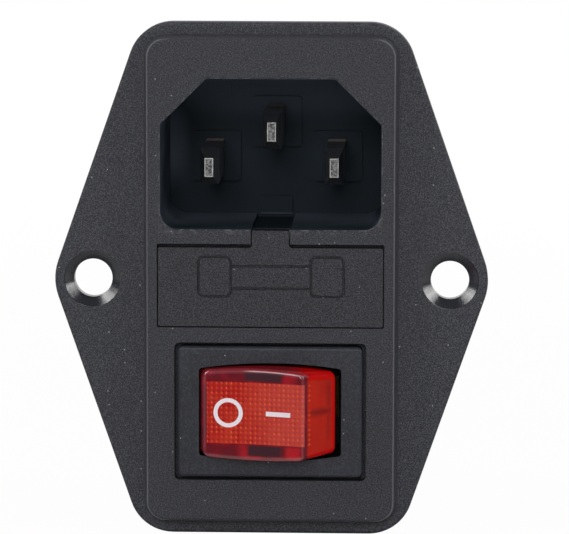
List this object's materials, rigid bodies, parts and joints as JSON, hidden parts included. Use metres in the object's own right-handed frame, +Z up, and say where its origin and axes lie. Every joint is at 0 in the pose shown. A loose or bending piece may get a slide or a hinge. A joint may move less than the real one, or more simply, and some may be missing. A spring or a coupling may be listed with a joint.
{
  "type": "power entry module",
  "caption": "Black panel-mount power entry module: appliance inlet with three pins, pull-out fuse drawer and red lit rocker switch on a six-sided screw flange.",
  "frame": {"origin": "midway between the two screw holes, on the face of the flange that seats on the panel", "axes": "+X to the right and +Z up as seen from the front, +Y into the panel"},
  "size_m": [0.0484, 0.0315, 0.0576],
  "materials": {
    "black_housing": "fine sandblasted moulding",
    "black_drawer": "fine sandblasted moulding",
    "black_switch": "smooth moulding",
    "red_lens": "clear red moulding",
    "nickel": "nickel plated",
    "plated_strip": "tin plated",
    "bare_brass": "satin",
    "silver": "satin",
    "copper": "satin",
    "white_nylon": "smooth",
    "spring_steel": "drawn wire",
    "tinned_wire": "drawn wire",
    "clear_glass": "clear",
    "resistor_lacquer": "lacquered"
  },
  "bodies": {
    "module": {"inlet_housing": "black_housing", "line_pin": "nickel", "neutral_pin": "nickel", "earth_pin": "nickel", "fuse_contact_line": "plated_strip", "fuse_contact_load": "plated_strip", "switch_housing": "black_switch", "fixed_contact": "silver", "switch_terminal_line": "plated_strip", "switch_terminal_load": "plated_strip", "switch_terminal_lamp": "bare_brass", "lamp_finger": "bare_brass"},
    "rocker_body": {"rocker": "red_lens", "plunger_spring": "spring_steel", "neon_lamp": "clear_glass", "lamp_resistor": "resistor_lacquer", "lamp_link_wire": "tinned_wire", "lamp_spring_wire": "tinned_wire", "lamp_tail_wire": "tinned_wire"},
    "plunger_body": {"plunger": "white_nylon"},
    "blade_body": {"contact_blade": "copper", "moving_contact": "silver"},
    "drawer_body": {"fuse_drawer": "black_drawer", "fuse_tube": "clear_glass", "fuse_cap_left": "nickel", "fuse_cap_right": "nickel", "fuse_wire": "tinned_wire"}
  },
  "joints": [
    {"name": "rocker_tilt", "type": "hinge", "parent": "module", "child": "rocker_body", "pos_m": [0, 0.001, -0.01464], "axis": [0, 0, 1], "range_deg": [0, 25]},
    {"name": "blade_tilt", "type": "hinge", "parent": "module", "child": "blade_body", "pos_m": [0, 0.00598, -0.01464], "axis": [0, 0, 1], "range_deg": [-16, 0]},
    {"name": "plunger_slide", "type": "slide", "parent": "rocker_body", "child": "plunger_body", "axis": [-0.2164, -0.9763, 0], "range_m": [0, 0.0003], "stiffness_N_per_m": 200, "springref_m": -0.001},
    {"name": "drawer_slide", "type": "slide", "parent": "module", "child": "drawer_body", "axis": [0, -1, 0], "range_m": [0, 0.018]}
  ],
  "couplings": [
    {"joint": "blade_tilt", "follows": "rocker_tilt", "ratio": -0.64}
  ]
}
